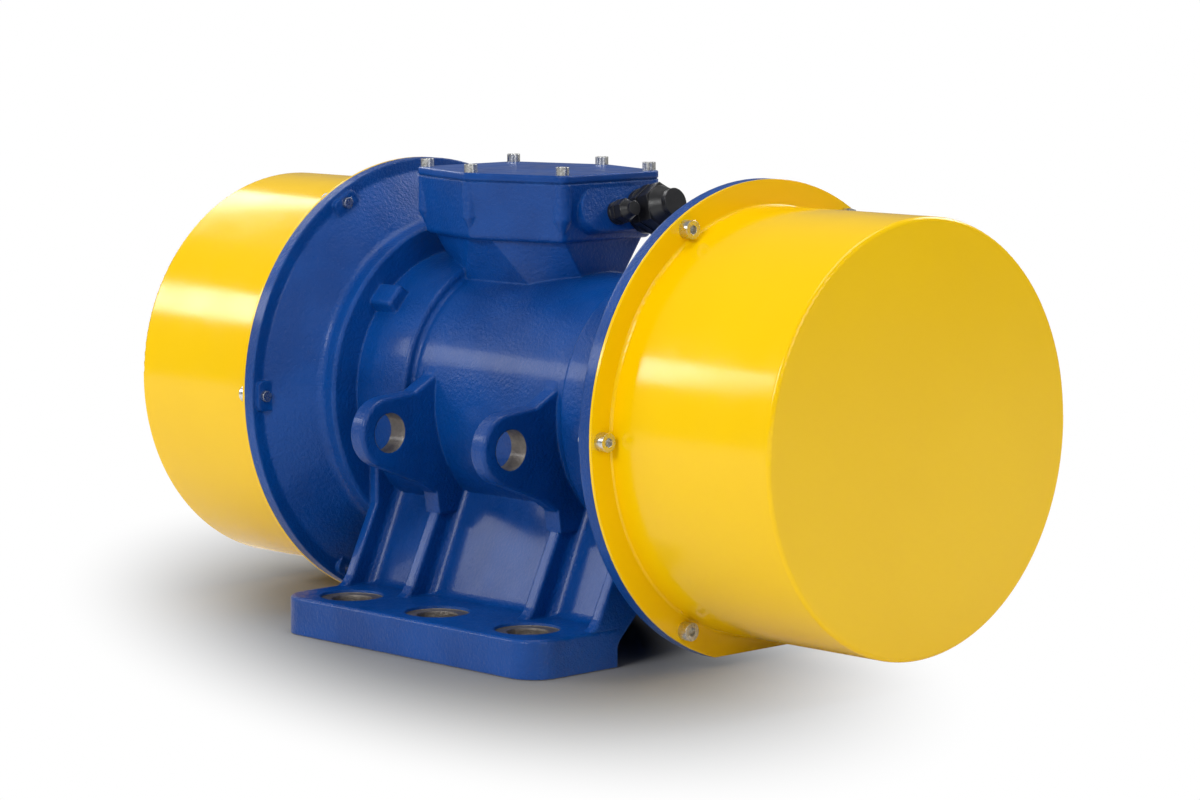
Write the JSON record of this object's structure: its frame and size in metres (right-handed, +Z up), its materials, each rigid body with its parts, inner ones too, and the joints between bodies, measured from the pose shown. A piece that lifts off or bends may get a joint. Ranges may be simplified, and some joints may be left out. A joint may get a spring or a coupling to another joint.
{
  "type": "vibration motor",
  "caption": "Unbalance motor with a cast ribbed casing on bolted feet, round weight covers at both ends, lifting eyes and a hexagonal terminal box with two cable glands.",
  "frame": {"origin": "middle of the mounting face under the feet, straight below the middle of the shaft", "axes": "+X along the shaft towards the cover the cable glands point to, +Z up, +Y to the rear side"},
  "size_m": [0.881, 0.472, 0.4543],
  "materials": {
    "cast_blue": "glossy blue enamel on cast iron",
    "cover_yellow": "glossy yellow powder coat on steel",
    "zinc_steel": "bright zinc",
    "machined_steel": "ground steel",
    "weight_steel": "flame-cut and turned steel",
    "lamination": "stacked electrical sheet",
    "winding": "varnished copper wire",
    "rotor_aluminium": "cast aluminium",
    "black_nylon": "black nylon",
    "block_plastic": "moulded terminal block",
    "brass": "plain brass",
    "rubber": "black rubber",
    "cage_brass": "machined brass"
  },
  "bodies": {
    "housing": {"bearing_cap_left": "machined_steel", "bearing_cap_right": "machined_steel", "bearing_housing_left": "machined_steel", "bearing_housing_right": "machined_steel", "bearing_outer_ring_left": "machined_steel", "bearing_outer_ring_right": "machined_steel", "cable_gland_large": "black_nylon", "cable_gland_small": "black_nylon", "cap_screws_left": "zinc_steel", "cap_screws_right": "zinc_steel", "casing": "cast_blue", "cover_left": "cover_yellow", "cover_right": "cover_yellow", "cover_screws_left": "zinc_steel", "cover_screws_right": "zinc_steel", "cover_seal_left": "rubber", "cover_seal_right": "rubber", "earth_screw": "zinc_steel", "gland_nut_large": "black_nylon", "gland_nut_small": "black_nylon", "gland_plug_large": "black_nylon", "gland_plug_small": "black_nylon", "housing_screws_left": "zinc_steel", "housing_screws_right": "zinc_steel", "lid_gasket": "rubber", "lid_screws": "zinc_steel", "stator_core": "lamination", "stator_winding": "winding", "terminal_block": "block_plastic", "terminal_box_lid": "cast_blue", "terminal_link": "brass", "terminal_nuts": "brass", "terminal_studs": "brass"},
    "rotor": {"bearing_inner_ring_left": "machined_steel", "bearing_inner_ring_right": "machined_steel", "rotor_core": "lamination", "rotor_end_ring_left": "rotor_aluminium", "rotor_end_ring_right": "rotor_aluminium", "shaft": "machined_steel", "shaft_nut_left": "zinc_steel", "shaft_nut_right": "zinc_steel", "shaft_spacer_left": "machined_steel", "shaft_spacer_right": "machined_steel", "shaft_washer_left": "machined_steel", "shaft_washer_right": "machined_steel", "weight_fixed_left": "weight_steel", "weight_fixed_right": "weight_steel", "weight_key_left": "machined_steel", "weight_key_right": "machined_steel"},
    "weight_left": {"weight_adjustable_left": "weight_steel", "weight_clamp_screw_left": "zinc_steel"},
    "weight_right": {"weight_adjustable_right": "weight_steel", "weight_clamp_screw_right": "zinc_steel"},
    "roller_set_left": {"bearing_cage_left": "cage_brass", "bearing_rollers_left": "machined_steel"},
    "roller_set_right": {"bearing_cage_right": "cage_brass", "bearing_rollers_right": "machined_steel"}
  },
  "joints": [
    {"name": "rotor_spin", "type": "hinge", "parent": "housing", "child": "rotor", "pos_m": [0, 0, 0.225], "axis": [1, 0, 0], "continuous": true},
    {"name": "weight_setting_left", "type": "hinge", "parent": "rotor", "child": "weight_left", "pos_m": [-0.32, 0, 0.225], "axis": [1, 0, 0], "range_deg": [0, 180]},
    {"name": "weight_setting_right", "type": "hinge", "parent": "rotor", "child": "weight_right", "pos_m": [0.32, 0, 0.225], "axis": [1, 0, 0], "range_deg": [0, 180]},
    {"name": "roller_set_left_spin", "type": "hinge", "parent": "housing", "child": "roller_set_left", "pos_m": [-0.182, 0, 0.225], "axis": [1, 0, 0], "continuous": true},
    {"name": "roller_set_right_spin", "type": "hinge", "parent": "housing", "child": "roller_set_right", "pos_m": [0.182, 0, 0.225], "axis": [1, 0, 0], "continuous": true}
  ],
  "couplings": [
    {"joint": "roller_set_left_spin", "follows": "rotor_spin", "ratio": 0.4158},
    {"joint": "roller_set_right_spin", "follows": "rotor_spin", "ratio": 0.4158}
  ]
}
